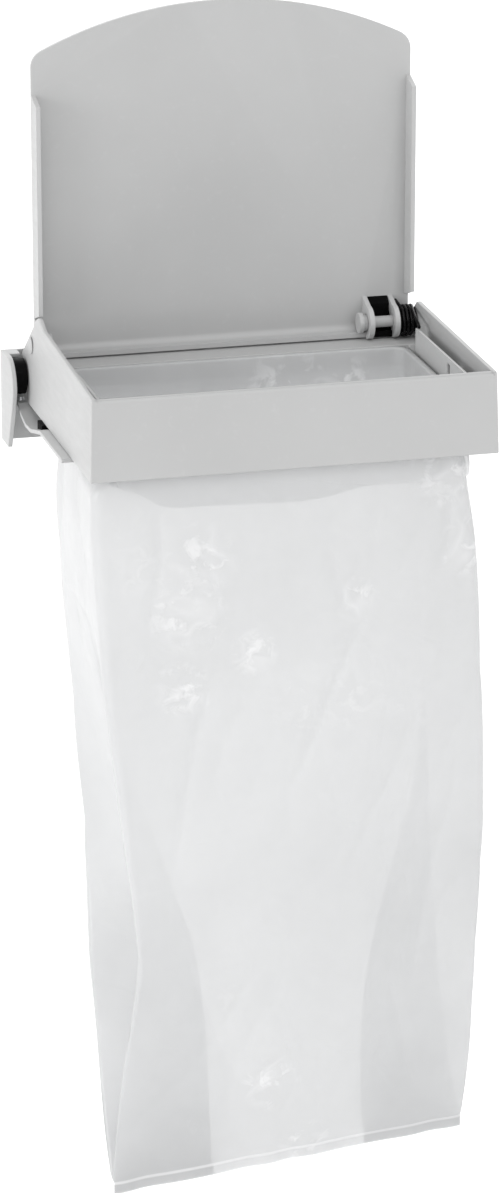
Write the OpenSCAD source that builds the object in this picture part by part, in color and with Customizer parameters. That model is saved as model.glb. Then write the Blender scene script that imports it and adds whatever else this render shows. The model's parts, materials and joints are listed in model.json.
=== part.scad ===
// Wall-mounted sack holder with a hinged lid, open and fitted with a film liner.
// Millimetres. X runs along the wall, +Y into the wall, +Z up.
// The origin is the centre of the back plate's wall-side face.

/* [Cover frame] */
// Outer width of the cover frame at its rim
body_w = 300; // [240:1:380]
// Depth from the front face to the back of the rear wall
body_d = 212; // [176:1:260]
// Height of the walls from the bottom edge to the rim
body_h = 61; // [58:0.5:74]
// Thickness of the moulded walls
wall_t = 3.5; // [3:0.1:4.2]
// Outward lean of the walls towards the bottom edge, in degrees
wall_draft = 1.6; // [0:0.1:2]
// Rounding of the front wall's upper outer edge
rim_round = 3; // [1:0.1:3]
// Space between the wall and the back of the rear wall
rear_space = 35; // [34:0.5:40]
// Height of the rim above the centre of the back plate
rim_z = 63; // [62:0.5:70]

/* [Lid] */
// Length of the lid from the hinge axis to the crown of its free edge
lid_len = 251; // [235:1:300]
// Thickness of the lid's panel
lid_t = 3; // [2.5:0.1:3.5]
// Gap at each side between the lid and the cover frame's walls
lid_gap = 1.3; // [1:0.1:2]
// Radius of the crowned free edge
crown_r = 315; // [260:1:500]
// Radius of the lid's two outer corners
corner_r = 14; // [6:1:24]
// Depth of the side flanges below the panel
flange_d = 16.5; // [12:0.5:18]
// Thickness of the side flanges
flange_t = 3.2; // [2.5:0.1:3.4]
// Distance from the hinge axis to the start of the side flanges
flange_start = 22.8; // [20:0.1:30]
// Distance from the hinge axis to the far end of the side flanges
flange_end = 181; // [140:1:183]

/* [Lid hinge] */
// Radius of the hinge pins
pin_r = 4.3; // [3.5:0.1:4.6]
// Radial running clearance of every pin in its bore
run_clear = 0.05; // [0.02:0.01:0.1]
// Height of the hinge axis below the rim
hinge_drop = 13.8; // [13:0.1:15]
// Distance of the hinge axis in front of the back of the rear wall
hinge_in = 10; // [9.5:0.1:12]
// Distance from the hinge axis to the inner face of the lid's panel
panel_off = 12.5; // [12.5:0.1:14]
// Radius of the lid's hinge ears
ear_r = 12.5; // [10:0.1:12.6]
// Thickness of the hinge ears
ear_t = 3.6; // [3:0.1:4]
// Clear width between the two ears at the right
ear_gap = 16.4; // [12:0.1:20]
// Clear width between the right wall and the outer ear, where the spring sits
spring_bay = 14; // [13:0.1:18]
// Wire diameter of the torsion spring
wire_d = 2.4; // [1.6:0.1:2.6]
// Mean coil radius of the torsion spring
coil_r = 11; // [9:0.1:11.5]
// Number of whole turns in the torsion spring
coil_turns = 3; // [2:1:3]

/* [Wall bracket] */
// Height of the back plate
plate_h = 70; // [66:1:90]
// Thickness of the back plate
plate_t = 3; // [2.5:0.1:3.5]
// Thickness of the two cheeks
cheek_t = 3.5; // [3:0.1:4.5]
// Clear space between a cheek and the cover frame
cheek_gap = 11.5; // [11:0.5:16]
// Distance of the pivot axis in front of the wall
pivot_y = 25; // [25:0.5:28]
// Height of the pivot axis above the centre of the back plate
pivot_z = 20.5; // [20:0.5:22]
// Radius of a cheek's rounded front about the pivot axis
cheek_r = 22; // [20:0.5:24]
// Radius of the pivot hubs' broad disc
hub_r = 13.5; // [11:0.1:14]
// Radius of the pivot hubs' bearing shank
shank_r = 3.9; // [3.5:0.1:4]
// Spacing of the four wall screws along the plate
screw_dx = 240; // [180:1:260]
// Spacing of the four wall screws up the plate
screw_dz = 40; // [30:1:44]
// Diameter of the four screw holes
screw_hole = 5.5; // [4.5:0.1:6.5]

/* [Bag ring] */
// Height of the ring's band
ring_h = 14; // [10:0.5:16]
// Thickness of the ring's band
ring_t = 3; // [2:0.1:4]
// Depth of the ring's upper edge below the rim
ring_drop = 27.5; // [27:0.1:30]
// Gap between the ring and the cover frame around it, where the film is turned over
ring_gap = 3.5; // [3:0.1:5]
// Outer corner radius of the ring
ring_corner = 14; // [8:1:24]
// Width of the flat arms that carry the ring
arm_w = 18; // [16.5:0.5:20]
// Thickness of the flat arms
arm_t = 3; // [2.5:0.1:3.5]

/* [Bag] */
// Length of the bag from the rim down to its bottom weld
bag_len = 630; // [400:1:800]
// Depth of the turned-down cuff below the rim, at the front
cuff_drop = 79; // [66:1:110]
// Modelled thickness of the film
film_t = 0.8; // [0.6:0.1:1]
// Gap between the film and what it passes
film_gap = 0.35; // [0.3:0.05:0.5]

/* [Hidden] */
$fn = 64;

// Colours
GREY = [0.75, 0.76, 0.76];
BLACK = [0.08, 0.08, 0.08];
STEEL = [0.7, 0.71, 0.72];
FILM = [0.93, 0.94, 0.95, 0.6];

// Cut-through allowance for holes
cut = 1;

// Cover frame datums
back_y = -rear_space;
front_y = back_y - body_d;
bottom_z = rim_z - body_h;
half_w = body_w / 2;
inner_w = half_w - wall_t;
inner_front = front_y + wall_t;
flare = body_h * tan(wall_draft);

// Lid hinge axis and lid datums
hinge_y = back_y - hinge_in;
hinge_z = rim_z - hinge_drop;
lid_half = inner_w - lid_gap;
panel_y = hinge_y + panel_off;
lid_top = hinge_z + lid_len;
lip_t = 3.5;
lip_z = hinge_z - 11.7;
lip_front = hinge_y + 1;
ear_outer_x = inner_w - spring_bay - ear_t;
ear_inner_x = ear_outer_x - ear_gap - ear_t;

// Shelf behind the opening and the channels that take the lid's flanges
shelf_z = rim_z - 27;
shelf_t = 3;
shelf_d = 31;
shelf_lip_h = 18;
shelf_front = back_y - shelf_d;
channel_clear = 3.5;
rib_t = 2.5;
rib_x = lid_half - flange_t - channel_clear;
rib_in = rib_x - rib_t;
rib_top = rim_z - 9.7;
channel_z = rim_z - 28;
rib_end = shelf_front - 18;
slot_w = 7;
slot_front = 73;

// Pivot of the cover frame on the bracket
pivot = [-pivot_y, pivot_z];
relief_r = 22;
relief = pivot + [13, -11.5];
tip_r = 2.5;
tip_angle = 94.2;
left_peak_r = 13.5;
left_peak = [hinge_y - 23, hinge_z + 26.3];
left_climb = 7.5;
left_foot = 17;
left_slant = 51.9;
right_peak_r = 5;
right_peak = [hinge_y - 8, rim_z + 2.1];
right_climb = 2;
right_foot = 23;
right_slant = 52.8;
lug_t = 6;
lug_r = 9;
lug_gap = 0.8;
lug_out = inner_w - lug_gap;
lug_in = lug_out - lug_t;
cheek_in = half_w + cheek_gap;
cheek_out = cheek_in + cheek_t;
socket_deep = 2;

// Ring and arms
ring_x = rib_in - ring_gap;
ring_front = inner_front + 4.5;
ring_back = shelf_front - ring_gap;
ring_z = rim_z - ring_drop;
arm_gap = 0.3;
arm_top = bottom_z - arm_gap;
arm_out = half_w + 8.5;
arm_in = arm_out - arm_w;
foot_y = front_y + 64;
foot_w = 22;
foot_out = arm_in + 4;
tab_in = ring_x + 0.2;
rest_y = front_y + 150;
rest_len = 16;
pad_sunk = 0.8;
arm_fall = 8;
arm_fall_y = front_y + 138;
arm_fall_end = front_y + 172;
pad_in = arm_in + 2.8;
pad_out = arm_out - 4;
rivet_r = 2;
arm_screw_y = -23;
arm_screw_x = half_w + 4.6;

// Outline helpers: points of an arc about c, and a mirrored pair of any child
function arc(c, r, a0, a1, n = 10) =
    [for (i = [0:n]) c + r * [cos(a0 + (a1 - a0) * i / n), sin(a0 + (a1 - a0) * i / n)]];

module both_sides() {
    children();
    mirror([1, 0, 0]) children();
}

// Extrudes a Y-Z outline along X from x0 to x1
module along_x(x0, x1) {
    translate([x0, 0, 0]) rotate([90, 0, 90]) linear_extrude(x1 - x0) children();
}

// Cylinder along X from x0 to x1 about the point at = [y, z]
module rod_x(at, r, x0, x1) {
    translate([x0, at[0], at[1]]) rotate([0, 90, 0]) cylinder(h = x1 - x0, r = r);
}

// Box from its low corner to its high corner
module block(low, high) {
    translate(low) cube(high - low);
}

// ---------------------------------------------------------------- cover frame

// Side wall outline: rim that climbs to the foot of a shoulder over the hinge, slanted rear
// edge, and a round relief about the bracket's hub. first is where the shoulder's arc begins.
function wall_outline(peak, peak_r, climb, foot, first, slant) =
    let (tip = relief + (relief_r + tip_r) * [cos(tip_angle), sin(tip_angle)])
    concat([[front_y + 1, bottom_z], [front_y + 1, rim_z], [peak[0] - foot, rim_z + climb]],
        arc(peak - [0, peak_r], peak_r, first, slant, 8),
        arc(tip, tip_r, slant, tip_angle - 180, 8),
        arc(relief, relief_r, tip_angle, 180, 10),
        [[back_y, bottom_z]]);

// Right side wall with the given outline
module side_wall(outline) {
    translate([half_w, 0, rim_z])
        rotate([0, -wall_draft, 0])
            translate([-wall_t, 0, -rim_z])
                rotate([90, 0, 90]) linear_extrude(wall_t) polygon(outline);
}

// Front wall: leaning section with a rounded rim, trimmed to the side walls' lean
module front_wall() {
    lean = body_h * tan(wall_draft);
    section = concat([[front_y - lean, bottom_z]],
        arc([front_y + rim_round, rim_z - rim_round], rim_round, 180, 90, 6),
        [[inner_front, rim_z], [inner_front - lean, bottom_z]]);
    intersection() {
        along_x(-half_w - flare, half_w + flare) polygon(section);
        translate([0, inner_front + cut, 0]) rotate([90, 0, 0]) linear_extrude(3 * wall_t)
            polygon([[-half_w, rim_z], [half_w, rim_z],
                [half_w + flare, bottom_z], [-half_w - flare, bottom_z]]);
    }
}

// Channel beside the opening: inner rib, floor out to the wall, and a clip slot in the rib
module channel() {
    difference() {
        union() {
            block([rib_in, inner_front - 1, channel_z - shelf_t], [rib_x, rib_end, rib_top]);
            block([rib_in, inner_front - 1, channel_z - shelf_t],
                [inner_w + 1, shelf_front + 1, channel_z]);
        }
        block([rib_in - cut, front_y + slot_front, channel_z],
            [rib_x + cut, front_y + slot_front + slot_w, rib_top - 4.5]);
    }
}

// Lug that carries the cover frame on the bracket's hub
module lug() {
    along_x(lug_in, lug_out) difference() {
        union() {
            polygon([[back_y - 2, pivot_z - lug_r], [pivot[0], pivot_z - lug_r],
                [pivot[0], pivot_z + lug_r], [back_y - 2, pivot_z + lug_r]]);
            translate(pivot) circle(r = lug_r);
        }
        translate(pivot) circle(r = shank_r + run_clear);
    }
}

module cover_frame() {
    color(GREY) {
        difference() {
            union() {
                side_wall(wall_outline(right_peak, right_peak_r, right_climb, right_foot, 90,
                    right_slant));
                mirror([1, 0, 0])
                    side_wall(wall_outline(left_peak, left_peak_r, left_climb, left_foot, 115,
                        left_slant));
            }
            rod_x([hinge_y, hinge_z], pin_r, -half_w - flare - cut, half_w + flare + cut);
        }
        front_wall();
        both_sides() channel();
        both_sides() lug();
        block([-inner_w - 1, shelf_front, shelf_z - shelf_t], [inner_w + 1, back_y, shelf_z]);
        block([-rib_in - 1, shelf_front, shelf_z - shelf_lip_h],
            [rib_in + 1, shelf_front + shelf_t, shelf_z]);
        block([-inner_w - 1, back_y - wall_t, bottom_z], [inner_w + 1, back_y, shelf_z]);
    }
}

// ---------------------------------------------------------------- lid

// Right half of the lid's outline in X-Z, from the crown to the lower corner
function lid_outline() =
    let (
        crown = [0, lid_top - crown_r],
        reach = crown_r - corner_r,
        cx = lid_half - corner_r,
        corner = [cx, crown[1] + sqrt(reach * reach - cx * cx)],
        meet = atan2(corner[1] - crown[1], corner[0])
    )
    concat(arc(crown, crown_r, 90, meet, 16), arc(corner, corner_r, meet, 0, 8),
        [[lid_half, lip_z], [0, lip_z]]);

module lid_panel() {
    both_sides()
        translate([0, panel_y + lid_t, 0]) rotate([90, 0, 0])
            linear_extrude(lid_t) polygon(lid_outline());
}

// Side flange, cut back at both ends by a short slope
module flange() {
    slope = 6;
    z0 = hinge_z + flange_start;
    z1 = hinge_z + flange_end;
    along_x(lid_half - flange_t, lid_half) polygon([
        [panel_y + 1, z0 - slope], [panel_y - flange_d, z0],
        [panel_y - flange_d, z1], [panel_y + 1, z1 + slope]]);
}

// Filleted lip along the lid's rear edge, left out where the spring sits
module rear_lip() {
    fillet = 5;
    lip_top = lip_z + lip_t;
    along_x(-lid_half, ear_outer_x + ear_t) polygon(concat(
        [[panel_y + 1, lip_z], [lip_front, lip_z], [lip_front, lip_top]],
        arc([panel_y - fillet, lip_top + fillet], fillet, -90, 0, 8),
        [[panel_y + 1, lip_top + fillet]]));
}

// Hinge ear: round about the pin with a web back to the panel
module ear(x0) {
    along_x(x0, x0 + ear_t) difference() {
        union() {
            translate([hinge_y, hinge_z]) circle(r = ear_r);
            polygon([[hinge_y, hinge_z + ear_r], [panel_y + 1, hinge_z + ear_r + 5],
                [panel_y + 1, lip_z], [hinge_y, lip_z]]);
        }
        translate([hinge_y, hinge_z]) circle(r = pin_r + run_clear);
    }
}

module lid() {
    color(GREY) {
        lid_panel();
        both_sides() flange();
        rear_lip();
        ear(ear_inner_x);
        ear(ear_outer_x);
        ear(-lid_half);
    }
}

// Black buffer held between the right-hand ears, behind and below the pin
module lid_stop_buffer() {
    side = 0.2;
    nose = 3.2;
    x0 = ear_inner_x + ear_t + side;
    x1 = ear_outer_x - side;
    back = panel_y - 0.05;
    pin_space = pin_r + 0.5;
    color(BLACK) along_x(x0, x1) difference() {
        polygon([[back, lip_z + lip_t + 5], [back, hinge_z + 17], [back - 5, hinge_z + 12],
            [back - 5, hinge_z - 7], [lip_front - nose, hinge_z - 7],
            [lip_front - nose, lip_z + 0.2], [lip_front - 0.05, lip_z + 0.2],
            [lip_front - 0.05, lip_z + lip_t + 0.05], [back - 5, lip_z + lip_t + 0.05]]);
        translate([hinge_y, hinge_z]) circle(r = pin_space);
    }
}

// ---------------------------------------------------------------- hinge pins

pin_head_r = 6.5;
pin_head_t = 1;
head_clear = 0.05;
cap_neck = 3.2;
cap_disc = 3.4;
cap_disc_r = 7.8;
cap_neck_r = 6.2;
pin_head_x = half_w + flare * hinge_drop / body_h + 0.25;
pin_end_right = ear_inner_x - cap_neck - cap_disc + 1;
pin_end_left = lid_half - ear_t - cap_neck - cap_disc + 1;

// Headed pin pushed in from outside; its head lies on the wall's outer face
module hinge_pin(inner_x) {
    rod_x([hinge_y, hinge_z], pin_r, inner_x, pin_head_x + pin_head_t);
    rod_x([hinge_y, hinge_z], pin_head_r, pin_head_x, pin_head_x + pin_head_t);
}

// Cap pushed onto the pin's inner end; two slots let its neck spring open
module retaining_cap(ear_x) {
    neck_x = ear_x - head_clear - cap_neck;
    disc_x = neck_x - cap_disc;
    slot = 2.4;
    difference() {
        union() {
            rod_x([hinge_y, hinge_z], cap_neck_r, neck_x, neck_x + cap_neck);
            rod_x([hinge_y, hinge_z], cap_disc_r, disc_x, neck_x);
        }
        rod_x([hinge_y, hinge_z], pin_r, disc_x + 1, neck_x + cap_neck + cut);
        for (s = [-1, 1])
            translate([neck_x, hinge_y - slot / 2, hinge_z + s * (cap_neck_r + 0.5) - 1.2])
                cube([cap_neck + cut, slot, 2.4]);
    }
}

module hinge_pin_right() {
    color(GREY) hinge_pin(pin_end_right);
}

module hinge_pin_left() {
    color(GREY) mirror([1, 0, 0]) hinge_pin(pin_end_left);
}

module retaining_cap_right() {
    color(GREY) retaining_cap(ear_inner_x);
}

module retaining_cap_left() {
    color(GREY) mirror([1, 0, 0]) retaining_cap(lid_half - ear_t);
}

// ---------------------------------------------------------------- torsion spring

// Wire path: one leg back and up to the lid's panel, the coil about the pin, and one leg
// forward from the coil's top to the end of the rib
bay_in = ear_outer_x + ear_t;
collar_flange = 1.2;
coil_x0 = bay_in + collar_flange + 0.4 + wire_d / 2;
coil_x1 = inner_w - 1 - wire_d / 2;
coil_start = 135;
coil_end = 90 + 360 * coil_turns;
coil_steps = 90;
leg_reach = (panel_off - wire_d / 2 - 0.2 - coil_r * cos(coil_start)) / cos(45);
leg_out = rib_end - 4;
leg_x = rib_x - 0.5;

function coil_point(i) =
    let (t = i / coil_steps, a = coil_start + (coil_end - coil_start) * t)
    [coil_x0 + (coil_x1 - coil_x0) * t, hinge_y + coil_r * cos(a), hinge_z + coil_r * sin(a)];

wire_path = concat(
    [coil_point(0) + leg_reach * [0, cos(45), sin(45)]],
    [for (i = [0:coil_steps]) coil_point(i)],
    [[leg_x, leg_out, rib_top + wire_d / 2 + 0.3]]);

function unit(v) = v / norm(v);

// Tube of radius r with n sides swept along path p
module swept(p, r, n = 8) {
    last = len(p) - 1;
    tangent = [for (i = [0:last]) unit(p[min(i + 1, last)] - p[max(i - 1, 0)])];
    side = [for (t = tangent) unit(cross(t, abs(t[0]) > 0.9 ? [0, 0, 1] : [1, 0, 0]))];
    up = [for (i = [0:last]) cross(tangent[i], side[i])];
    points = [for (i = [0:last]) for (k = [0:n - 1])
        p[i] + r * (cos(360 * k / n) * side[i] + sin(360 * k / n) * up[i])];
    walls = [for (i = [0:last - 1]) for (k = [0:n - 1])
        [i * n + k, (i + 1) * n + k, (i + 1) * n + (k + 1) % n, i * n + (k + 1) % n]];
    start = [for (k = [0:n - 1]) k];
    finish = [for (k = [n - 1:-1:0]) last * n + k];
    polyhedron(points, concat(walls, [start, finish]));
}

module torsion_spring() {
    color(BLACK) swept(wire_path, wire_d / 2);
}

// Flanged black collar that centres the coil on the pin
module spring_collar() {
    flange_r = 11.8;
    sleeve_r = coil_r - wire_d / 2 - 0.6;
    x0 = bay_in + 0.1;
    x1 = inner_w - 0.2;
    color(BLACK) difference() {
        union() {
            rod_x([hinge_y, hinge_z], flange_r, x0, x0 + collar_flange);
            rod_x([hinge_y, hinge_z], sleeve_r, x0, x1);
        }
        rod_x([hinge_y, hinge_z], pin_r, x0 - cut, x1 + cut);
    }
}

// ---------------------------------------------------------------- wall bracket

// Cheek outline: rounded about the pivot, then a straight slope to the lower corner
module cheek_outline() {
    low = -plate_h / 2;
    foot = 24;
    start = 98;
    stop = 203;
    polygon(concat([[0, low], [0, plate_h / 2]],
        arc([-cheek_r - 1, pivot_z - 5.5], cheek_r, start, stop, 14),
        [[-foot, low]]));
}

web_d = 14;
shelf_low = arm_top - arm_t - 4;

module bracket_screw_places() {
    for (x = [-screw_dx / 2, screw_dx / 2])
        for (z = [-screw_dz / 2, screw_dz / 2])
            translate([x, 0, z]) children();
}

module wall_bracket() {
    color(GREY) difference() {
        union() {
            block([-cheek_out, -plate_t, -plate_h / 2], [cheek_out, 0, plate_h / 2]);
            both_sides() {
                along_x(cheek_in, cheek_out) cheek_outline();
                block([cheek_in - 9, -web_d, plate_h / 2 - plate_t],
                    [cheek_in + 1, -plate_t + 1, plate_h / 2]);
                block([arm_in, -28, shelf_low], [cheek_in + 1, -plate_t + 1, arm_top - arm_t]);
            }
        }
        bracket_screw_places() rotate([90, 0, 0])
            translate([0, 0, -cut]) cylinder(h = plate_t + 2 * cut, d = screw_hole);
        both_sides() {
            rod_x(pivot, shank_r, cheek_in - cut, cheek_in + socket_deep);
            translate([arm_screw_x, arm_screw_y, shelf_low - cut])
                cylinder(h = arm_t + 6 + 2 * cut, r = rivet_r);
        }
    }
}

// Stepped black hub: spigot in the cheek, broad disc in the gap, shank through the lug
hub_gap = 0.4;
hub_in = half_w + flare + hub_gap;
clip_t = 1.2;
clip_gap = 0.15;
shank_end = lug_in - clip_gap - clip_t - 1.2;

module pivot_hub() {
    rod_x(pivot, shank_r, shank_end, cheek_in + socket_deep);
    rod_x(pivot, hub_r, hub_in, cheek_in);
}

module pivot_hub_right() {
    color(BLACK) pivot_hub();
}

module pivot_hub_left() {
    color(BLACK) mirror([1, 0, 0]) pivot_hub();
}

// Push-on clip that keeps the lug on the hub's shank
module hub_clip() {
    x1 = lug_in - clip_gap;
    difference() {
        rod_x(pivot, shank_r + 3, x1 - clip_t, x1);
        rod_x(pivot, shank_r, x1 - clip_t - cut, x1 + cut);
    }
}

module hub_clip_right() {
    color(STEEL) hub_clip();
}

module hub_clip_left() {
    color(STEEL) mirror([1, 0, 0]) hub_clip();
}

// ---------------------------------------------------------------- bag ring and arms

// Rounded rectangle about the ring's centre, grown outwards by g
module ring_outline(g) {
    r = ring_corner + g;
    x = ring_x + g;
    y0 = ring_front - g;
    y1 = ring_back + g;
    polygon(concat(arc([x - r, y1 - r], r, 0, 90, 8), arc([-x + r, y1 - r], r, 90, 180, 8),
        arc([-x + r, y0 + r], r, 180, 270, 8), arc([x - r, y0 + r], r, 270, 360, 8)));
}

// Wall of a rounded-rectangle sleeve between two offsets of the ring, from z0 to z1
module ring_sleeve(inner, outer, z0, z1) {
    translate([0, 0, z0]) linear_extrude(z1 - z0) difference() {
        ring_outline(outer);
        ring_outline(inner);
    }
}

module bag_ring() {
    color(GREY) difference() {
        ring_sleeve(-ring_t, 0, ring_z - ring_h, ring_z);
        rivet_places() rod_x([0, 0], rivet_r, ring_x - ring_t - cut, ring_x + cut);
    }
}

rivet_z = ring_z - ring_h + 5;
module rivet_places() {
    both_sides()
        for (y = [foot_y + 5, foot_y + foot_w - 5])
            translate([0, y, rivet_z]) children();
}

// Outline of a rest pad, or of its pocket, on the falling part of the arm, up to the height top
function pad_outline(y0, y1, top) =
    let (fall = arm_fall / (arm_fall_end - arm_fall_y), low = arm_top - pad_sunk)
    [[y0, low - fall * (y0 - arm_fall_y)], [y1, low - fall * (y1 - arm_fall_y)], [y1, top],
        [y0, top]];

// Arm profile in Y-Z: level under the wall, a dip, and a rise to the bracket's shelf
function arm_profile() =
    let (
        top = [[foot_y, arm_top], [arm_fall_y, arm_top], [arm_fall_end, arm_top - arm_fall],
            [front_y + 190, arm_top - 9], [front_y + 206, arm_top - 5.5],
            [front_y + 215, arm_top], [-plate_t - 0.2, arm_top]],
        n = len(top)
    )
    concat(top, [for (i = [n - 1:-1:0]) top[i] - [0, arm_t]]);

module arm() {
    difference() {
        union() {
            along_x(arm_in, arm_out) polygon(arm_profile());
            block([tab_in, foot_y, arm_top - arm_t],
                [foot_out, foot_y + foot_w, arm_top]);
            block([tab_in, foot_y, arm_top - arm_t],
                [tab_in + arm_t, foot_y + foot_w, ring_z - ring_h + 9]);
        }
        for (y = [foot_y + 5, foot_y + foot_w - 5])
            rod_x([y, rivet_z], rivet_r, tab_in - cut, tab_in + arm_t + cut);
        translate([arm_screw_x, arm_screw_y, arm_top - arm_t - cut])
            cylinder(h = arm_t + 2 * cut, r = rivet_r);
        along_x(pad_in, pad_out)
            polygon(pad_outline(rest_y, rest_y + rest_len, arm_top + cut));
    }
}

module arm_right() {
    color(GREY) arm();
}

module arm_left() {
    color(GREY) mirror([1, 0, 0]) arm();
}

// Rivets through the ring's band and the arms' tabs, flush inside the ring
module arm_rivets() {
    head_r = 3.6;
    head_h = 1;
    x1 = tab_in + arm_t + 0.1;
    color(STEEL) rivet_places() {
        rod_x([0, 0], rivet_r, ring_x - ring_t, x1 + head_h);
        rod_x([0, 0], head_r, x1, x1 + head_h);
    }
}

// Pan-head screws that hold the arms down on the bracket's shelves
module arm_screws() {
    color(GREY) both_sides() translate([arm_screw_x, arm_screw_y, 0]) {
        translate([0, 0, shelf_low - 2]) cylinder(h = arm_top + 2 - shelf_low, r = rivet_r);
        translate([0, 0, arm_top]) cylinder(h = 2.6, r1 = 3.6, r2 = 2.8);
    }
}

// Rubber pads let into the arms, on which the cover frame's walls rest
module rest_pad() {
    side = 0.2;
    along_x(pad_in + side, pad_out - side)
        polygon(pad_outline(rest_y + side, rest_y + rest_len - side, bottom_z - 0.15));
}

module rest_pad_right() {
    color(BLACK) rest_pad();
}

module rest_pad_left() {
    color(BLACK) mirror([1, 0, 0]) rest_pad();
}

// ---------------------------------------------------------------- bag

bag_top = ring_z - ring_h - 1;
bag_bottom = rim_z - bag_len;
bag_drop = bag_top - bag_bottom;

// Depth fractions of the bag's sections: straight down past the arms, then even steps
neck = (bag_top - (arm_top - arm_t - 2)) / bag_drop;
bag_steps = 9;
depths = concat([0], [for (i = [0:bag_steps]) neck + (1 - neck) * i / bag_steps]);

// Bag section at depth fraction t: [left x, right x, front y, back y]
function bag_section(t) =
    let (
        open_x = ring_x - ring_t - film_gap,
        swell = max(0, min(1, (t - neck) / 0.11)),
        close = max(0, (t - 0.25) / 0.75),
        side = open_x + 12 * sin(90 * swell),
        left = side - 12 * close,
        right = side - 5 * swell + 5 * sin(180 * t) * swell - 8 * close,
        front = ring_front + ring_t + film_gap - 4 * swell + 30 * close * close,
        back = ring_back - ring_t - film_gap - 112 * pow(close, 1.3)
    )
    [-left, right, front, back];

// Closed shell lofted down through the bag's sections; its top is open
module bag_loft(inset, z_cut) {
    rings = len(depths) - 1;
    corner = 8;
    n = 4 * (corner + 1);
    outline = [for (i = [0:rings])
        let (
            t = depths[i],
            s = bag_section(t),
            x0 = s[0] + inset,
            x1 = s[1] - inset,
            y0 = s[2] + inset,
            y1 = s[3] - inset,
            r = min(14, (y1 - y0) / 2 - 1),
            z = i == rings ? bag_bottom + inset : bag_top - bag_drop * t + (i == 0 ? z_cut : 0)
        )
        for (q = concat(
            arc([x1 - r, y1 - r], r, 0, 90, corner), arc([x0 + r, y1 - r], r, 90, 180, corner),
            arc([x0 + r, y0 + r], r, 180, 270, corner), arc([x1 - r, y0 + r], r, 270, 360, corner)))
            [q[0], q[1], z]];
    sides = [for (i = [0:rings - 1]) for (k = [0:n - 1]) let (j = (k + 1) % n)
        [i * n + k, i * n + j, (i + 1) * n + j, (i + 1) * n + k]];
    lid_face = [for (k = [n - 1:-1:0]) k];
    floor_face = [for (k = [0:n - 1]) rings * n + k];
    polyhedron(outline, concat(sides, [lid_face, floor_face]));
}

// Film turned over the ring: inner layer, top fold and outer cuff
module bag() {
    in0 = -ring_t - film_gap - film_t;
    in1 = -ring_t - film_gap;
    out0 = film_gap;
    out1 = film_gap + film_t;
    fold_z = ring_z + film_gap;
    side_hem = arm_top + 6;
    front_hem = rim_z - cuff_drop;
    hem_x = ring_x - ring_corner - 6;
    color(FILM) {
        ring_sleeve(in0, in1, bag_top - 0.01, fold_z + film_t);
        ring_sleeve(in0, out1, fold_z, fold_z + film_t);
        difference() {
            ring_sleeve(out0, out1, side_hem, fold_z + film_t);
            both_sides() block([ring_x - cut, foot_y - 3, side_hem - cut],
                [ring_x + 9, foot_y + foot_w + 3, ring_z - ring_h + 12]);
        }
        block([-hem_x, ring_front - out1, front_hem], [hem_x, ring_front - out0, side_hem + 1]);
        difference() {
            bag_loft(0, 0);
            bag_loft(film_t, cut);
        }
    }
}

wall_bracket();
pivot_hub_left();
pivot_hub_right();
hub_clip_left();
hub_clip_right();
bag_ring();
arm_left();
arm_right();
arm_rivets();
arm_screws();
rest_pad_left();
rest_pad_right();
cover_frame();
lid();
lid_stop_buffer();
hinge_pin_left();
hinge_pin_right();
retaining_cap_left();
retaining_cap_right();
torsion_spring();
spring_collar();
bag();
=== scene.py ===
"""Looks of the wall-mounted sack holder: rounded mouldings, film bag, materials, light and camera."""
import json
import math

import bmesh
import bpy
import numpy as np
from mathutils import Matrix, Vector, noise


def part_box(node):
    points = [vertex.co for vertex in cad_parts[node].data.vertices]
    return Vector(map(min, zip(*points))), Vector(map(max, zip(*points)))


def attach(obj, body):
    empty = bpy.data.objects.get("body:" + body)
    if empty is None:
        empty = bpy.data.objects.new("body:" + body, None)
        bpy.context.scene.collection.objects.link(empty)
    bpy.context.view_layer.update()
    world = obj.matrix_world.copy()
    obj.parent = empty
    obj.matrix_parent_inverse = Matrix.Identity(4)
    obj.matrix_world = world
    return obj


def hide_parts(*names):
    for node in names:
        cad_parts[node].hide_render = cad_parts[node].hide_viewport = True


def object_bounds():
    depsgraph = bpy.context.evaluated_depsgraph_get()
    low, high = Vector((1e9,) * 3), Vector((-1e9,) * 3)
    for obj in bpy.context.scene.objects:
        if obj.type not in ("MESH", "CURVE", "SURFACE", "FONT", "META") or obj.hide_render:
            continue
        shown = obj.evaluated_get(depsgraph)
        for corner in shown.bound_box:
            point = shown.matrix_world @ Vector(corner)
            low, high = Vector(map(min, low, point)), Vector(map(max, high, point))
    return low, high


MM = 0.001

# Weld across the bag's bottom, in millimetres: heights of its two ends, x of the left one, and width
WELD_LEFT, WELD_RIGHT = -560.0, -549.0
WELD_START, WELD_WIDTH = -132.0, 281.0

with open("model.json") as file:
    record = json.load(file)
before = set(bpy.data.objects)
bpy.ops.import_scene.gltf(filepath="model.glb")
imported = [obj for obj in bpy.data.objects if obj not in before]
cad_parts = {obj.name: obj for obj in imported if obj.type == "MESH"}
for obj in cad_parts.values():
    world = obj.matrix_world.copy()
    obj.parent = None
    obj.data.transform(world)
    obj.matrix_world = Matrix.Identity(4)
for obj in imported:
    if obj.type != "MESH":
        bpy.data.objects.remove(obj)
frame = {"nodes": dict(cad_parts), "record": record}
nodes = frame["nodes"]
body_of_node = {n: b for b, names in frame["record"]["behaviour"]["bodies"].items() for n in names}
slot_of_node = {s["node"]: s["material_slot"] for s in frame["record"]["subparts"]}
cad_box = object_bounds()


# ------------------------------------------------------------------ materials

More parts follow.
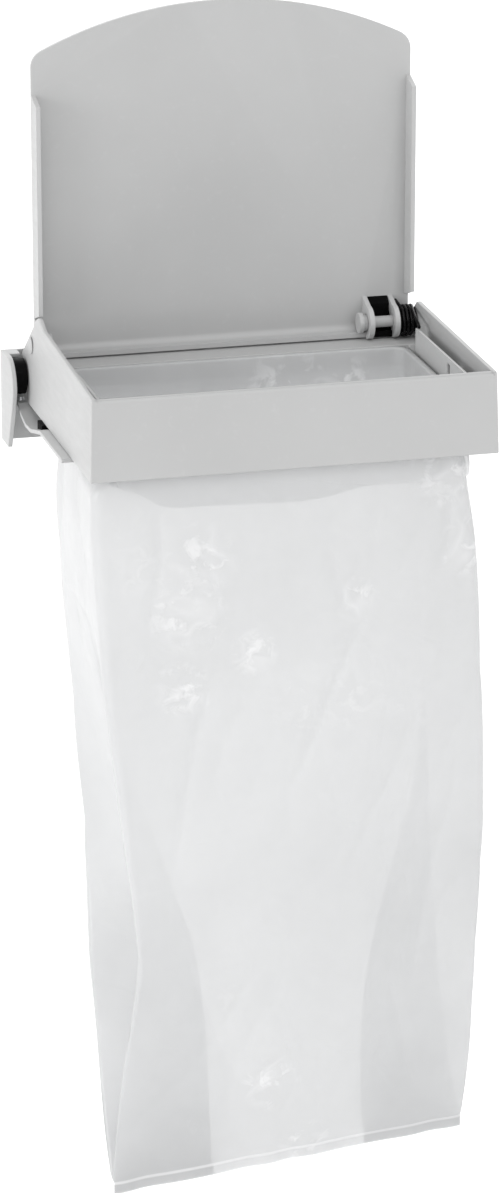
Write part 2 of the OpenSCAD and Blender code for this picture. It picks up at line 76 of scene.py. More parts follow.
class Nodes:
    """Short way to put together a node tree around one Principled shader."""

    def __init__(self, name):
        self.material = bpy.data.materials.new(name)
        self.material.use_nodes = True
        self.tree = self.material.node_tree
        self.shader = next(n for n in self.tree.nodes if n.type == "BSDF_PRINCIPLED")
        self.output = next(n for n in self.tree.nodes if n.type == "OUTPUT_MATERIAL")
        self.place = self.add("ShaderNodeTexCoord").outputs["Object"]

    def add(self, kind, **values):
        node = self.tree.nodes.new(kind)
        for key, value in values.items():
            setattr(node, key, value)
        return node

    def link(self, source, target):
        self.tree.links.new(source, target)

    def noise(self, scale, detail=2.0, rough=0.5, stretch=(1, 1, 1), distortion=0.0):
        mapping = self.add("ShaderNodeMapping")
        mapping.inputs["Scale"].default_value = stretch
        self.link(self.place, mapping.inputs["Vector"])
        node = self.add("ShaderNodeTexNoise")
        node.inputs["Scale"].default_value = scale
        node.inputs["Detail"].default_value = detail
        node.inputs["Roughness"].default_value = rough
        node.inputs["Distortion"].default_value = distortion
        self.link(mapping.outputs["Vector"], node.inputs["Vector"])
        return node.outputs["Fac"]

    def spread(self, source, low, high, start=0.3, stop=0.7):
        """source, from start to stop, mapped onto low to high."""
        node = self.add("ShaderNodeMapRange")
        for key, value in (("From Min", start), ("From Max", stop), ("To Min", low), ("To Max", high)):
            node.inputs[key].default_value = value
        self.link(source, node.inputs["Value"])
        return node.outputs["Result"]

    def blend(self, factor, first, second):
        """Mix of two colours, each a triple or a socket."""
        node = self.add("ShaderNodeMix", data_type="RGBA")
        self.link(factor, node.inputs[0])
        for socket, value in ((node.inputs[6], first), (node.inputs[7], second)):
            if isinstance(value, (tuple, list)):
                socket.default_value = (*value, 1)
            else:
                self.link(value, socket)
        return node.outputs[2]

    def calc(self, first, second, operation="ADD"):
        """One Math node on two values, each a number or a socket."""
        node = self.add("ShaderNodeMath", operation=operation)
        for socket, value in zip(node.inputs, (first, second)):
            if isinstance(value, (int, float)):
                socket.default_value = value
            else:
                self.link(value, socket)
        return node.outputs[0]

    def bump(self, height, strength, distance, below=None):
        node = self.add("ShaderNodeBump")
        node.inputs["Strength"].default_value = strength
        node.inputs["Distance"].default_value = distance
        self.link(height, node.inputs["Height"])
        if below is not None:
            self.link(below, node.inputs["Normal"])
        return node.outputs["Normal"]

    def edge(self, low=0.52, high=0.62):
        """1 along convex edges, where a painted highlight goes, 0 elsewhere."""
        geometry = self.add("ShaderNodeNewGeometry")
        return self.spread(geometry.outputs["Pointiness"], 0.0, 1.0, low, high)

    def crease(self, scale, distortion):
        """1 on thin winding lines, fading to 0 beside them."""
        waves = self.noise(scale, 2, 0.5, distortion=distortion)
        off = self.calc(self.calc(waves, 0.5, "SUBTRACT"), 0.0, "ABSOLUTE")
        return self.spread(off, 1.0, 0.0, 0.0, 0.045)

    def weld_line(self):
        """1 along the bag's bottom weld, which climbs to the right."""
        axes = self.add("ShaderNodeSeparateXYZ")
        self.link(self.place, axes.inputs[0])
        slope = (WELD_RIGHT - WELD_LEFT) / WELD_WIDTH
        at_middle = (WELD_LEFT - WELD_START * slope) * MM
        weld = self.calc(self.calc(axes.outputs["X"], slope, "MULTIPLY"), at_middle)
        off = self.calc(self.calc(axes.outputs["Z"], weld, "SUBTRACT"), 0.0, "ABSOLUTE")
        return self.spread(off, 1.0, 0.0, 0.0006, 0.0018)

    def near(self, place, reach):
        """1 at the place, fading to 0 at reach from it."""
        node = self.add("ShaderNodeVectorMath", operation="DISTANCE")
        self.link(self.place, node.inputs[0])
        node.inputs[1].default_value = place
        return self.spread(node.outputs["Value"], 1.0, 0.0, reach * 0.35, reach)


def shade(value):
    """Grey of the mouldings: very slightly cool."""
    return value * 0.995, value, value


def moulded_plastic(name, tone, rough):
    """Satin moulded plastic: fine grain, faint flow marks, scuffs, and slightly paler edges as a painted
    highlight.
    """
    n = Nodes(name)
    clouds = n.spread(n.noise(9, 3), 0.0, 1.0)
    colour = n.blend(clouds, shade(tone * 0.965), shade(tone * 1.03))
    dust = n.spread(n.noise(160, 4, 0.65), 0.0, 0.35, 0.58, 0.8)
    colour = n.blend(dust, colour, shade(tone * 1.16))
    # painted highlight: convex edges paler, as where light catches them
    colour = n.blend(n.calc(n.edge(), 0.3, "MULTIPLY"), colour, shade(tone * 1.35))
    n.link(colour, n.shader.inputs["Base Color"])
    scuffs = n.noise(38, 5, 0.6, stretch=(1, 1, 6))
    n.link(n.spread(scuffs, rough - 0.06, rough + 0.09), n.shader.inputs["Roughness"])
    grain = n.bump(n.noise(2600, 2), 0.16, 0.00018)
    flow = n.bump(n.noise(24, 2), 0.10, 0.0010, grain)
    n.link(flow, n.shader.inputs["Normal"])
    n.shader.inputs["Specular IOR Level"].default_value = 0.42
    return n.material


def plain_look(name, dark, light, clouds, gloss, rough, grain, bump, edge_highlight=None, specular=0.5, metallic=0.0):
    """Look without a pattern: two close colours in clouds, uneven roughness and a fine grain.

    clouds, gloss and grain begin with the scale and detail of the noise behind each, rough is the range of
    the roughness, bump the grain's strength and depth in metres, and edge_highlight the colour of a painted
    highlight along convex edges."""
    n = Nodes(name)
    colour = n.blend(n.spread(n.noise(*clouds), 0.0, 1.0), dark, light)
    if edge_highlight is not None:
        # painted highlight: convex edges get a paler colour
        colour = n.blend(n.calc(n.edge(0.53, 0.66), 0.3, "MULTIPLY"), colour, edge_highlight)
    n.link(colour, n.shader.inputs["Base Color"])
    n.link(n.spread(n.noise(*gloss), *rough), n.shader.inputs["Roughness"])
    n.link(n.bump(n.noise(*grain), *bump), n.shader.inputs["Normal"])
    n.shader.inputs["Specular IOR Level"].default_value = specular
    n.shader.inputs["Metallic"].default_value = metallic
    return n.material


# Places on the film, in metres, with painted glints: small white streaks and specks that stand for light
# caught on its creases, and their reach
GLINT_SPOTS = [
    ((-0.068, -0.245, -0.062), 0.030), ((-0.080, -0.245, -0.105), 0.032), ((-0.032, -0.245, -0.135), 0.020),
    ((0.045, -0.245, -0.102), 0.020), ((-0.084, -0.245, -0.160), 0.024), ((0.118, -0.240, -0.010), 0.034),
    ((0.134, -0.238, -0.070), 0.026), ((-0.010, -0.220, -0.490), 0.026), ((0.040, -0.078, 0.004), 0.042),
    ((0.085, -0.078, 0.006), 0.030), ((0.020, -0.215, -0.556), 0.030),
]


def film(name):
    """Thin milky film: scatters light back and through, part clear, glossy, with painted glints (white
    streaks and specks where its creases catch the light) and a whiter weld.
    """
    n = Nodes(name)
    milk = n.spread(n.noise(7, 3, 0.55), 0.0, 1.0)
    colour = n.blend(milk, (0.70, 0.705, 0.71), (0.75, 0.755, 0.76))
    glint_patches = n.spread(n.noise(9, 2, 0.5), 0.0, 0.3, 0.62, 0.74)
    for place, reach in GLINT_SPOTS:
        glint_patches = n.calc(glint_patches, n.near(place, reach), "MAXIMUM")
    lines = n.crease(16, 0.7)
    specks = n.spread(n.noise(75, 3, 0.55, distortion=0.5), 0.0, 1.0, 0.52, 0.66)
    # painted highlight: bright streaks and specks painted white over the film in patches, standing for glints
    # on its creases; the weld line added next is the seam's own whiter film
    glints_and_weld = n.calc(n.calc(specks, n.calc(lines, 0.45, "MULTIPLY"), "MAXIMUM"), glint_patches, "MULTIPLY")
    glints_and_weld = n.calc(glints_and_weld, n.weld_line(), "MAXIMUM")
    # painted glints and the weld, lighter
    colour = n.blend(n.calc(glints_and_weld, 0.5, "MULTIPLY"), colour, (0.96, 0.96, 0.965))
    n.link(colour, n.shader.inputs["Base Color"])
    n.link(n.spread(n.noise(45, 4), 0.14, 0.26), n.shader.inputs["Roughness"])
    soft = n.bump(n.noise(30, 2, 0.5, distortion=0.6), 0.12, 0.0016)
    crinkle = n.bump(n.calc(specks, n.calc(glint_patches, 0.10), "MULTIPLY"), 0.22, 0.0008, soft)
    folds = n.bump(n.crease(12, 0.5), 0.12, 0.0010, crinkle)
    n.link(folds, n.shader.inputs["Normal"])
    n.shader.inputs["Specular IOR Level"].default_value = 0.55
    alpha = n.spread(n.noise(16, 3), 0.64, 0.74)
    n.link(n.calc(alpha, n.calc(glints_and_weld, 0.25, "MULTIPLY")), n.shader.inputs["Alpha"])
    through = n.add("ShaderNodeBsdfTranslucent")
    n.link(colour, through.inputs["Color"])
    n.link(folds, through.inputs["Normal"])
    mix = n.add("ShaderNodeMixShader")
    mix.inputs[0].default_value = 0.30
    n.link(n.shader.outputs[0], mix.inputs[1])
    n.link(through.outputs[0], mix.inputs[2])
    n.link(mix.outputs[0], n.output.inputs["Surface"])
    return n.material


materials = {
    "grey_plastic": moulded_plastic("grey_plastic_look", 0.45, 0.42),
    "bracket_plastic": moulded_plastic("bracket_plastic_look", 0.48, 0.46),
    # Black nylon kept near pure black with little sheen: its pieces in the gaps at the lid's hinges and the
    # wall bracket also stand in for the deep shade there, partly painted shade
    "black_nylon": plain_look(
        "black_nylon_and_shade_look", (0.0015, 0.0015, 0.0017), (0.004, 0.004, 0.0043), clouds=(60, 4), gloss=(300, 4),
        rough=(0.42, 0.58), grain=(1500, 2), bump=(0.15, 0.0001), edge_highlight=(0.03, 0.03, 0.032), specular=0.05),
    # Black rubber kept near pure black: its pads fill a dark gap between the cover and the arms and also
    # stand in for the shade there, partly painted shade
    "black_rubber": plain_look(
        "black_rubber_and_shade_look", (0.0015, 0.0015, 0.0015), (0.004, 0.004, 0.0042), clouds=(90, 4), gloss=(200, 4),
        rough=(0.55, 0.75), grain=(1100, 3), bump=(0.3, 0.0002), specular=0.05),
    "spring_steel": plain_look(
        "spring_steel_look", (0.002, 0.002, 0.0022), (0.006, 0.006, 0.0065), clouds=(220, 3),
        gloss=(500, 3), rough=(0.20, 0.34), grain=(1800, 2), bump=(0.12, 0.0001), specular=0.15),
    "zinc_steel": plain_look(
        "zinc_steel_look", (0.50, 0.51, 0.53), (0.66, 0.67, 0.68), clouds=(150, 4),
        gloss=(400, 3, 0.5, (1, 5, 5)), rough=(0.28, 0.46), grain=(900, 3), bump=(0.15, 0.0001),
        metallic=1.0),
    "film": film("film_look"),
}


# ------------------------------------------------------------------ mouldings

def finish_piece(obj, body, slot):
    """Gives a new piece its material, slot and body."""
    obj.data.materials.clear()
    obj.data.materials.append(materials[slot])
    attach(obj, body)
    return obj


MERGE = 0.12 * MM  # points of the CAD mesh closer than this are one
FLAT = math.radians(0.6)  # faces that meet at less than this are joined
EDGE = math.radians(28)  # edges sharper than this are rounded
INNER_EDGE = 0.3  # rounding of a concave edge, as a share of a convex one's
BEVEL_UNIT = 1.0  # the bevel's width in metres where an edge's weight is 1

# Rounding in millimetres, and the nodes that get it. The lid keeps its CAD shape.
ROUNDED = {
    0.8: ["cover_frame"],
    0.6: ["wall_bracket"],
    0.4: ["arm_left", "arm_right", "bag_ring", "retaining_cap_left", "retaining_cap_right", "hinge_pin_left",
          "hinge_pin_right", "lid_stop_buffer", "pivot_hub_left", "pivot_hub_right"],
    0.25: ["rest_pad_left", "rest_pad_right", "spring_collar"],
}


def rounded_copy(node, width):
    """Replaces a CAD node by a copy with its edges rounded by width, in metres."""
    mesh = bpy.data.meshes.new(node + "_rounded")
    work = bmesh.new()
    work.from_mesh(nodes[node].data)
    bmesh.ops.remove_doubles(work, verts=work.verts, dist=MERGE)
    bmesh.ops.dissolve_degenerate(work, edges=work.edges, dist=1e-6)
    bmesh.ops.dissolve_limit(work, angle_limit=FLAT, verts=work.verts, edges=work.edges)
    weight = work.edges.layers.float.new("bevel_weight_edge")
    for e in work.edges:
        if len(e.link_faces) == 2 and e.calc_face_angle() > EDGE:
            e[weight] = (width if e.is_convex else INNER_EDGE * width) / BEVEL_UNIT
    work.to_mesh(mesh)
    work.free()
    obj = bpy.data.objects.new(node + "_moulding", mesh)
    bpy.context.scene.collection.objects.link(obj)
    bevel = obj.modifiers.new("round", "BEVEL")
    bevel.limit_method = "WEIGHT"
    bevel.width = BEVEL_UNIT
    bevel.segments = 2
    bevel.use_clamp_overlap = False
    bevel.harden_normals = False
    cuts = obj.modifiers.new("cuts", "TRIANGULATE")
    cuts.min_vertices = 5
    cuts.ngon_method = "BEAUTY"
    normals = obj.modifiers.new("normals", "WEIGHTED_NORMAL")
    normals.keep_sharp = False
    normals.weight = 90
    for face in mesh.polygons:
        face.use_smooth = True
    bpy.context.view_layer.update()
    shown = bpy.data.meshes.new_from_object(obj.evaluated_get(bpy.context.evaluated_depsgraph_get()))
    obj.modifiers.clear()
    obj.data = shown
    finish_piece(obj, body_of_node[node], slot_of_node[node])
    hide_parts(node)


for name, obj in nodes.items():
    obj.data.materials.clear()
    obj.data.materials.append(materials[slot_of_node[name]])

for width, names in ROUNDED.items():
    for name in names:
        rounded_copy(name, width * MM)


# ------------------------------------------------------------------ torsion spring

WIRE = 1.2 * MM  # radius of the wire
COIL = 11.0 * MM  # radius of the coil, at the wire's middle
COIL_FIRST, COIL_LAST = 100, 1170  # degrees around the lid's axis at the coil's two ends
COIL_STEPS = 150
LID_AXIS_Y, LID_AXIS_Z = -45.0 * MM, 49.2 * MM
RIB_LEG_END = Vector((138 * MM, -88 * MM, 54.8 * MM))
LID_LEG_END_Y = -34.0 * MM


def tube(name, path, radius, sides=12):
    """Round wire with closed ends along the path, in metres."""
    work = bmesh.new()
    turns = [2 * math.pi * k / sides for k in range(sides)]
    loops = []
    last = len(path) - 1
    side = None
    for i, point in enumerate(path):
        way = (path[min(i + 1, last)] - path[max(i - 1, 0)]).normalized()
        side = way.cross(Vector((1, 0, 0))) if side is None else side - way * side.dot(way)
        side = side.normalized()
        up = way.cross(side)
        around = [point + radius * (math.cos(a) * side + math.sin(a) * up) for a in turns]
        loops.append([work.verts.new(p) for p in around])
    for first, second in zip(loops, loops[1:]):
        for k in range(sides):
            work.faces.new((first[k], second[k], second[(k + 1) % sides], first[(k + 1) % sides]))
    work.faces.new(loops[0])
    work.faces.new(list(reversed(loops[-1])))
    bmesh.ops.recalc_face_normals(work, faces=work.faces)
    mesh = bpy.data.meshes.new(name)
    work.to_mesh(mesh)
    work.free()
    for face in mesh.polygons:
        face.use_smooth = len(face.vertices) == 4
    obj = bpy.data.objects.new(name, mesh)
    bpy.context.scene.collection.objects.link(obj)
    return obj


def torsion_spring():
    """Coil and rib leg on the cover, and the short leg behind the lid's panel, which turns with the lid."""
    low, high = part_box("torsion_spring")
    x0, x1 = low.x + WIRE, high.x - WIRE

    def on_coil(degrees):
        a, t = math.radians(degrees), (degrees - COIL_FIRST) / (COIL_LAST - COIL_FIRST)
        return Vector((x0 + (x1 - x0) * t, LID_AXIS_Y + COIL * math.cos(a), LID_AXIS_Z + COIL * math.sin(a)))

    coil = [on_coil(COIL_FIRST + (COIL_LAST - COIL_FIRST) * i / COIL_STEPS) for i in range(COIL_STEPS + 1)]
    rib_leg = [coil[-1].lerp(RIB_LEG_END, t) for t in (0.06, 0.5, 1)]
    obj = finish_piece(tube("spring_coil", coil + rib_leg, WIRE), "cover", "spring_steel")
    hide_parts("torsion_spring")
    start = on_coil(COIL_FIRST)
    back = -(on_coil(COIL_FIRST + 1) - start).normalized()
    lid_leg = [start - back * MM, start + back * ((LID_LEG_END_Y - start.y) / back.y)]
    finish_piece(tube("spring_lid_leg", lid_leg, WIRE), "lid", "spring_steel")


torsion_spring()


# ------------------------------------------------------------------ film bag

# Sections of the hanging bag, from the ring's lower edge down to the weld, in millimetres:
# height, then x and y of the front-left, front-right, back-right and back-left folds.
BAG_SECTIONS = [
    (21.5, -128.2, -234.7, 128.2, -234.7, 128.2, -73.8, -128.2, -73.8),
    (5, -130, -236, 129.5, -236, 129.5, -73.5, -129.5, -73.5),
    (-6, -145.5, -239, 132, -238, 131.5, -73, -132, -73),
    (-22, -149, -240, 133.5, -238, 133.5, -72, -136.5, -72),
    (-65, -147, -241, 140, -239, 138, -73, -140, -74),
    (-110, -143.5, -241, 143.5, -239, 140, -77, -139.5, -79),
    (-160, -140, -240, 146, -239, 140, -84, -137, -86),
    (-236, -130, -237, 148.5, -236, 140, -97, -134, -98),
    (-300, -122.5, -234, 149.3, -233, 139, -112, -131, -113),
    (-340, -117.5, -232, 148.8, -230, 138, -121, -131, -122),
    (-376, -114, -229, 148, -227, 137, -133, -132, -134),
    (-407, -117, -227, 147.6, -224, 137, -143, -133, -145),
    (-450, -123.5, -224, 147.8, -219, 138, -154, -133, -160),
    (-495, -129, -221, 148.2, -210, 141, -168, -133.5, -178),
    (-530, -132, -219, 147.8, -200, 144, -178, -134, -198),
    (-548, -132.8, -217.5, 148.5, -191, 147.5, -182, -134, -211),
    (-554.5, -132, -216.8, 149, -185.6, 149, -184.2, -132, -215.4),
]
# Measures of the film, in millimetres unless said otherwise
SKIRT = 8.5  # film below the weld
GUSSET_LEG = 80.6  # half of the film's width at a side, which folds inwards
RING_CORNER = 14  # radius of the ring's corners
CUFF_OUT, INNER_OUT, HEM_OUT = 0.9, -3.9, 3.2  # how far cuff, inner layer and hem stand out from the ring
NECK = 60  # depth below the ring down to which the rows are closer

# How many points the sheet has along each panel, side and corner, and how many rows in each stretch of it
PANEL_COLUMNS, SIDE_COLUMNS, CORNER_COLUMNS = 100, 56, 7
CUFF_ROWS, FOLD_ROWS, INNER_ROWS, NECK_ROWS, BODY_ROWS, SKIRT_ROWS = 26, 8, 8, 34, 150, 5

# Hem of the cuff across the front: x and height, in millimetres
HEM_X = [-140, -112, -100, -60, -25, 20, 48, 78, 128, 140]
HEM_Z = [-2, -12, -20, -23, -24.5, -24, -18, -16.5, -16.5, -14]
SIDE_HEM = 9.0  # height at the sides and the back

FOLD_SEED = 1795136705  # for noise_vector, which Blender would otherwise seed from the clock

# Creases across the front of the bag: ends (x, z), width and height, in millimetres
FRONT_CREASES = [
    ((-76, -58), (-56, -88), 3.0, 1.6),
    ((60, -104), (-10, -250), 5.0, 2.2),
    ((118, -14), (112, -84), 5.0, 2.4),
    ((-101, -20), (-106, -120), 4.0, 1.8),
    ((-60, -140), (-96, -330), 6.0, 1.6),
    ((95, -180), (40, -330), 5.0, 1.4),
    ((20, -60), (44, -112), 3.5, 1.2),
    ((128, -230), (92, -420), 6.0, 1.8),
    ((-80, -380), (-30, -500), 5.0, 1.3),
    ((70, -400), (110, -520), 4.5, 1.4),
]


def smooth(t):
    """0 to 1 as t goes from 0 to 1, level at both ends."""
    t = np.clip(t, 0, 1)
    return t * t * (3 - 2 * t)


def spline(x, xs, ys):
    """Smooth curve through the points, without overshoot between them."""
    xs, ys = np.asarray(xs, float), np.asarray(ys, float)
    h, d = np.diff(xs), np.diff(ys) / np.diff(xs)
    slopes = np.concatenate([[d[0]], (d[:-1] + d[1:]) / 2, [d[-1]]])
    slopes[1:-1][d[:-1] * d[1:] <= 0] = 0
    i = np.clip(np.searchsorted(xs, x) - 1, 0, len(h) - 1)
    t = (x - xs[i]) / h[i]
    return (
        (1 + 2 * t) * (1 - t) ** 2 * ys[i] + t * (1 - t) ** 2 * h[i] * slopes[i]
        + t * t * (3 - 2 * t) * ys[i + 1] + t * t * (t - 1) * h[i] * slopes[i + 1]
    )


def section_loop(folds, radius, inward, bulge, crease):
    """One closed section as x, y points: front panel, right side, back panel, left side.

    inward is how far the gussets' middles come in, bulge how far the panels stand out,
    and crease how sharp the gussets are, from 0 to 1."""
    fl, fr, br, bl = (np.array(f, float) for f in folds)
    across = (fr + br) / 2 - (fl + bl) / 2
    across /= np.linalg.norm(across)

    def side(a, b, count, push, power, off=None):
        """Points from a to b, less the corners, pushed along off, or else to the right of the way."""
        way = (b - a) / np.linalg.norm(b - a)
        off = np.array([way[1], -way[0]]) if off is None else off
        start, stop = a + way * radius, b - way * radius
        t = np.linspace(0, 1, count)
        shape = 1 - np.abs(2 * t - 1) ** power
        return start + np.outer(t, stop - start) + np.outer(shape * push, off)

    def corner(before, at, after):
        start = at + (before - at) / np.linalg.norm(before - at) * radius
        stop = at + (after - at) / np.linalg.norm(after - at) * radius
        t = np.linspace(0, 1, CORNER_COLUMNS + 2)[1:-1, None]
        return (1 - t) ** 2 * start + 2 * t * (1 - t) * at + t * t * stop

    sharp = 2.2 - 1.1 * crease
    return np.concatenate([
        side(fl, fr, PANEL_COLUMNS, bulge, 2.0), corner(fl, fr, br),
        side(fr, br, SIDE_COLUMNS, inward, sharp, -across), corner(fr, br, bl),
        side(br, bl, PANEL_COLUMNS, bulge, 2.0), corner(br, bl, fl),
        side(bl, fl, SIDE_COLUMNS, inward, sharp, across), corner(bl, fl, fr),
    ])


def ring_loop(grow, ring_low, ring_high):
    """Section of the ring's outline, grown outwards, in millimetres."""
    x0, x1 = ring_low.x / MM - grow, ring_high.x / MM + grow
    y0, y1 = ring_low.y / MM - grow, ring_high.y / MM + grow
    return section_loop([(x0, y0), (x1, y0), (x1, y1), (x0, y1)], RING_CORNER + grow, 0, 0, 0)


def column_places():
    """For each column: 0 to 1 along its panel or side, and which of the four it is on."""
    place, part = [], []
    for k, count in enumerate((PANEL_COLUMNS, SIDE_COLUMNS) * 2):
        place += list(np.linspace(0, 1, count)) + [1.0] * CORNER_COLUMNS
        part += [k] * (count + CORNER_COLUMNS)
    return np.array(place), np.array(part)


def hem_height(loop):
    """Height of the cuff's hem around the ring: low along the front, high at the sides and the back."""
    x, y = loop[:, 0], loop[:, 1]
    t = smooth((y - y.min() - 4) / 34)
    return spline(x, HEM_X, HEM_Z) * (1 - t) + SIDE_HEM * t


def crease_height(x, z):
    """Height of the drawn creases at points of the front panel."""
    total = np.zeros_like(x)
    for (x0, z0), (x1, z1), width, height in FRONT_CREASES:
        a, b = np.array([x0, z0], float), np.array([x1, z1], float)
        way = b - a
        length = np.linalg.norm(way)
        t = ((x - a[0]) * way[0] + (z - a[1]) * way[1]) / length ** 2
        across = ((x - a[0]) * way[1] - (z - a[1]) * way[0]) / length
        across = across + 3.0 * np.sin(t * 5.0 + x0)
        along = smooth(t / 0.25) * smooth((1 - t) / 0.25)
        total += height * along * np.exp(-np.abs(across) / width)
    return total


def bag_mesh():
    """Hem, outer cuff, fold over the ring, inner layer, hanging bag, weld and skirt as one sheet."""
    ring_low, ring_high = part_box("bag_ring")
    ring_top, ring_bottom = ring_high.z / MM, ring_low.z / MM
    outer, inner, flare = (ring_loop(out, ring_low, ring_high) for out in (CUFF_OUT, INNER_OUT, HEM_OUT))
    rows = []
    hem = hem_height(outer)
    for t in np.linspace(0, 1, CUFF_ROWS):
        z = hem + (ring_top - hem) * t
        out = smooth((12 - z) / 22)[:, None]
        rows.append(np.column_stack([outer * (1 - out) + flare * out, z]))
    for a in np.linspace(0, math.pi, FOLD_ROWS)[1:-1]:
        mix = (1 - math.cos(a)) / 2
        z = ring_top + CUFF_OUT * math.sin(a)
        rows.append(np.column_stack([outer * (1 - mix) + inner * mix, np.full(len(outer), z)]))
    for z in np.linspace(ring_top, ring_bottom, INNER_ROWS):
        rows.append(np.column_stack([inner, np.full(len(inner), z)]))
    first_body = len(rows)
    table = np.array(BAG_SECTIONS)
    heights = -table[:, 0]
    top, weld = table[0, 0], table[-1, 0]
    neck, body = np.linspace(0, NECK, NECK_ROWS), np.linspace(NECK, top - weld, BODY_ROWS)
    depths = np.concatenate([neck[1:], body[1:]])
    for depth in depths:
        z = top - depth
        f = [spline(-z, heights, table[:, k + 1]) for k in range(8)]
        folds = [(f[0], f[1]), (f[2], f[3]), (f[4], f[5]), (f[6], f[7])]
        v = depth / (top - weld)
        gap = 0.5 * (f[5] - f[3] + f[7] - f[1])
        slack = math.sqrt(max(0, GUSSET_LEG ** 2 - (gap / 2) ** 2))
        inward = slack * (0.15 + 0.85 * float(smooth(np.array((v - 0.1) / 0.75))))
        bulge = 9.5 * math.sin(math.pi * min(1, v) ** 0.8) ** 0.8 if v < 1 else 0
        radius = min(10.1 * (1 - v) + 1.2, max(0.3, gap / 2.2))
        loop = section_loop(folds, radius, inward, bulge, float(smooth(np.array(v * 1.3))))
        weld_here = WELD_LEFT + (WELD_RIGHT - WELD_LEFT) * (loop[:, 0] - WELD_START) / WELD_WIDTH
        zs = top - (top - weld_here) * v
        rows.append(np.column_stack([loop, zs]))
    last = rows[-1]
    for drop in np.linspace(0, SKIRT, SKIRT_ROWS)[1:]:
        low = last.copy()
        low[:, 2] -= drop
        rows.append(low)
    return wrinkled(np.array(rows), first_body)


def wrinkled(grid, first_body):
    """Moves the hanging part of the sheet in and out: sag, creases, crinkles and a puckered weld."""
    place, part = column_places()
    down = np.gradient(grid, axis=0)
    around = (np.roll(grid, -1, axis=1) - np.roll(grid, 1, axis=1)) / 2
    normal = np.cross(around, down)
    normal /= np.maximum(np.linalg.norm(normal, axis=2, keepdims=True), 1e-9)
    x, z = grid[..., 0], grid[..., 2]
    values = np.zeros_like(grid)
    for i in range(first_body, len(grid)):
        for k, point in enumerate(grid[i]):
            values[i, k] = crinkles(Vector(point))
    front = (part == 0)[None, :] * np.ones_like(x)
    tension = np.exp(-np.maximum(0, -z) / 60) * np.sin(place * 30 + 1.4 * np.sin(place * 11))[None, :]
    height = 2.4 * values[..., 0] + 1.1 * values[..., 1] + 0.5 * values[..., 2]
    height += front * crease_height(x, z)
    height += 0.9 * tension * ((part % 2) == 0)[None, :]
    free = smooth((3.5 - z) / 60) * smooth((z - WELD_LEFT) / 70)
    free[:first_body] = 0
    moved = grid + normal * (height * free)[..., None]
    hang = smooth((WELD_LEFT + 40 - z) / 60)
    hang[:first_body] = 0
    moved[..., 1] += 1.2 * np.sin(x / 8.5 + 1.5 * np.sin(x / 21)) * hang
    return moved


def crinkles(p):
    """Broad sag, long crisp folds and small flat facets of thin film at a point, each about -1 to 1."""
    broad = noise.noise(Vector((p.x / 110, p.y / 110, p.z / 190)))
    q = p + noise.noise_vector(p / 90) * 22
    along = q.x * 0.5 + q.z * 0.866
    across = q.x * 0.866 - q.z * 0.5
    fold = 1 - 2 * abs(noise.noise(Vector((across / 60, q.y / 80, along / 240))))
    near = noise.voronoi(Vector((q.x / 52, q.y / 60, q.z / 78)))[0]
    return broad, max(0.0, fold) ** 2 - 0.4, min(near[0], 0.9) - 0.45


def film_bag():
    """The whole bag as one sheet, in place of the CAD's plain one."""
    noise.seed_set(FOLD_SEED)
    grid = bag_mesh() * MM
    rows, columns = grid.shape[:2]
    faces = []
    for row in range(0, (rows - 1) * columns, columns):
        for c in range(columns):
            after = (c + 1) % columns
            faces.append((row + c, row + after, row + columns + after, row + columns + c))
    mesh = bpy.data.meshes.new("film_bag")
    mesh.from_pydata([tuple(p) for p in grid.reshape(-1, 3)], [], faces)
    for face in mesh.polygons:
        face.use_smooth = True
    obj = bpy.data.objects.new("film_bag", mesh)
    bpy.context.scene.collection.objects.link(obj)
    finish_piece(obj, "bracket", "film")
    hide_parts("bag")


film_bag()


# ------------------------------------------------------------------ stage, light and camera

FLOOR_DROP = 0.55  # from the part's lowest point down to the floor, in metres
FLOOR_HALF = 30.0  # half of the floor's width
WORLD_LIGHT = 0.82


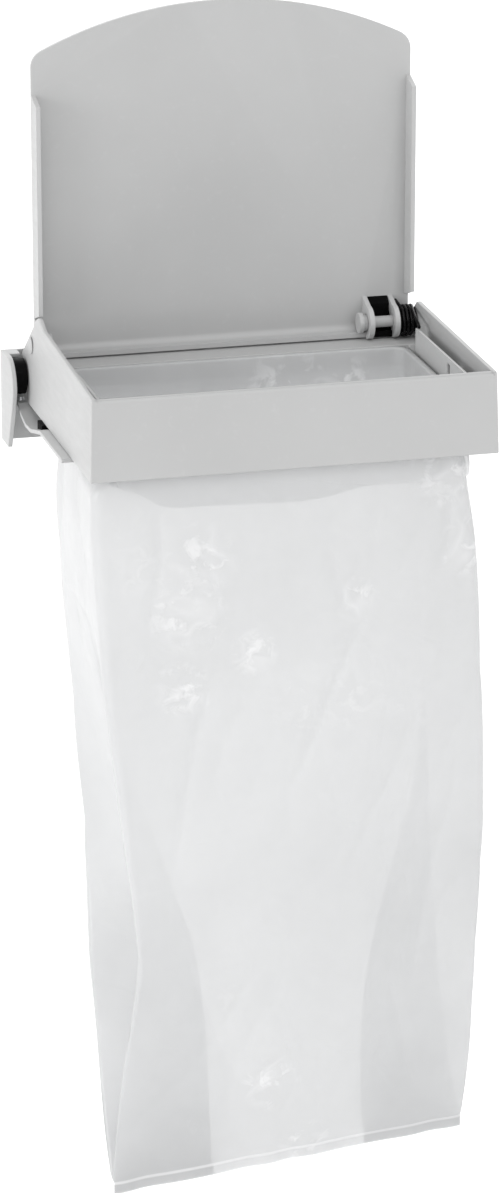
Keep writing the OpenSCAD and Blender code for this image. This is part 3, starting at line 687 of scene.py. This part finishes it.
def stage():
    """Plain pale floor far below the part, which hangs in the air as in the photograph."""
    z = cad_box[0][2] - FLOOR_DROP
    corners = [(x * FLOOR_HALF, y * FLOOR_HALF, z) for x, y in ((-1, -1), (1, -1), (1, 1), (-1, 1))]
    mesh = bpy.data.meshes.new("floor")
    mesh.from_pydata(corners, [], [(0, 1, 2, 3)])
    floor = bpy.data.objects.new("floor", mesh)
    bpy.context.scene.collection.objects.link(floor)
    n = Nodes("floor_look")
    colour = n.blend(n.spread(n.noise(0.6, 2), 0.0, 1.0), (0.93, 0.93, 0.93), (0.95, 0.95, 0.95))
    n.link(colour, n.shader.inputs["Base Color"])
    n.shader.inputs["Roughness"].default_value = 0.9
    mesh.materials.append(n.material)


def area_light(name, place, target, size, power):
    """Rectangular lamp that looks at target: size in metres, power in watts."""
    data = bpy.data.lights.new(name, "AREA")
    data.shape = "RECTANGLE"
    data.size, data.size_y = size
    data.energy = power
    light = bpy.data.objects.new(name, data)
    bpy.context.scene.collection.objects.link(light)
    light.location = place
    light.rotation_euler = (Vector(target) - Vector(place)).to_track_quat("-Z", "Y").to_euler()


def lights():
    """Even white surroundings, a key light from the left and soft ones from above, the front and behind."""
    world = bpy.data.worlds.new("studio")
    bpy.context.scene.world = world
    world.use_nodes = True
    background = world.node_tree.nodes["Background"]
    background.inputs["Color"].default_value = (1, 1, 1, 1)
    background.inputs["Strength"].default_value = WORLD_LIGHT
    centre = (0, -0.12, 0)
    area_light("left_key", (-3.4, -0.9, 0.7), centre, (1.6, 1.6), 50)
    area_light("top_soft", (0.1, -1.9, 3.2), centre, (2.4, 2.4), 28)
    area_light("front_soft", (1.2, -4.6, 1.2), centre, (3.0, 3.0), 29)
    area_light("back_soft", (0.6, 4.4, 2.6), (0.6, 4.4, -1), (7.0, 5.0), 200)


def camera():
    """Photograph's viewpoint: 18.4 degrees down and 14.5 degrees to the right, from 3.7 m."""
    pitch = math.radians(18.43)
    yaw = math.radians(14.5)
    data = bpy.data.cameras.new("camera")
    data.sensor_fit = "VERTICAL"
    data.sensor_height = 36.0
    data.lens = 149.8
    cam = bpy.data.objects.new("camera", data)
    bpy.context.scene.collection.objects.link(cam)
    cam.location = (-0.886, -3.540, 1.041)
    look = Vector((math.sin(yaw) * math.cos(pitch), math.cos(yaw) * math.cos(pitch), -math.sin(pitch)))
    cam.rotation_euler = look.to_track_quat("-Z", "Y").to_euler()
    bpy.context.scene.camera = cam


stage()
lights()
camera()
bpy.context.scene.view_settings.view_transform = "Standard"
